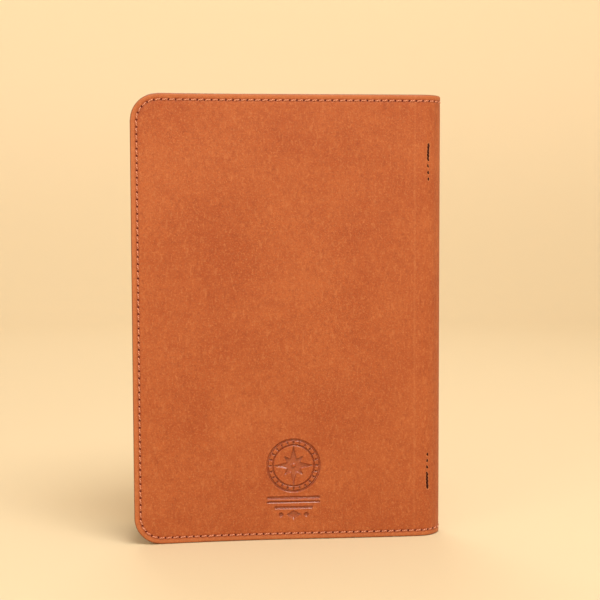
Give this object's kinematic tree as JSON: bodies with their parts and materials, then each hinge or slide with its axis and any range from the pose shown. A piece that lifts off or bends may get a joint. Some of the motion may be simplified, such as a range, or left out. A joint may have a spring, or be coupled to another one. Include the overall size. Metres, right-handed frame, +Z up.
{
  "type": "passport holder wallet",
  "caption": "Tall leather travel wallet that opens like a book, with a rounded spine, stitched edges, a passport pocket, a document pocket and stepped card pockets inside.",
  "frame": {"origin": "middle of the footprint on the surface the wallet stands on, at rest", "axes": "+Z up along the spine, +X towards the spine, so the open edges are at -X; the back cover faces -Y and the front cover +Y"},
  "size_m": [0.1461, 0.0432, 0.21],
  "materials": {
    "leather": "waxed, finely pebbled vegetable-tanned leather in tan orange-brown, with darker burnished cut edges",
    "pocket": "smooth tan leather, unfinished sheen",
    "lining": "thin matt tan lining leather",
    "thread": "dusty tan-pink bonded sewing thread"
  },
  "bodies": {
    "back": {"cover_back": "leather", "lining_back": "lining", "passport_pocket": "pocket", "seam_thread_back_outside": "thread", "seam_thread_back_inside": "thread", "tack_thread_top_inside": "thread", "tack_thread_bottom_inside": "thread"},
    "spine_back": {"cover_spine_back": "leather", "lining_spine_back": "lining", "spine_thread_back_top_outside": "thread", "spine_thread_back_top_inside": "thread", "spine_thread_back_bottom_outside": "thread", "spine_thread_back_bottom_inside": "thread", "tack_thread_top_outside": "thread", "tack_thread_bottom_outside": "thread"},
    "spine_middle": {"cover_spine_middle": "leather", "lining_spine_middle": "lining", "spine_thread_middle_top_outside": "thread", "spine_thread_middle_top_inside": "thread", "spine_thread_middle_bottom_outside": "thread", "spine_thread_middle_bottom_inside": "thread"},
    "spine_front": {"cover_spine_front": "leather", "lining_spine_front": "lining", "spine_thread_front_top_outside": "thread", "spine_thread_front_top_inside": "thread", "spine_thread_front_bottom_outside": "thread", "spine_thread_front_bottom_inside": "thread"},
    "front": {"cover_front": "leather", "lining_front": "lining", "document_pocket": "pocket", "card_pocket_1": "pocket", "card_pocket_2": "pocket", "card_pocket_3": "pocket", "card_pocket_4": "pocket", "seam_thread_front_outside": "thread", "seam_thread_front_inside": "thread", "card_thread": "thread"}
  },
  "joints": [
    {"name": "fold_back_outer", "type": "hinge", "parent": "back", "child": "spine_back", "pos_m": [0.0663, -0.01108, 0], "axis": [0, 0, -1], "range_deg": [-2.05, 42.95]},
    {"name": "fold_back_inner", "type": "hinge", "parent": "spine_back", "child": "spine_middle", "pos_m": [0.07243, -0.0045, 0], "axis": [0, 0, -1], "range_deg": [-2.05, 42.95]},
    {"name": "fold_front_inner", "type": "hinge", "parent": "spine_middle", "child": "spine_front", "pos_m": [0.07243, 0.0045, 0], "axis": [0, 0, -1], "range_deg": [-2.05, 42.95]},
    {"name": "fold_front_outer", "type": "hinge", "parent": "spine_front", "child": "front", "pos_m": [0.0663, 0.01108, 0], "axis": [0, 0, -1], "range_deg": [-2.05, 42.95]}
  ],
  "couplings": [
    {"joint": "fold_back_inner", "follows": "fold_back_outer", "ratio": 1},
    {"joint": "fold_front_inner", "follows": "fold_front_outer", "ratio": 1}
  ]
}
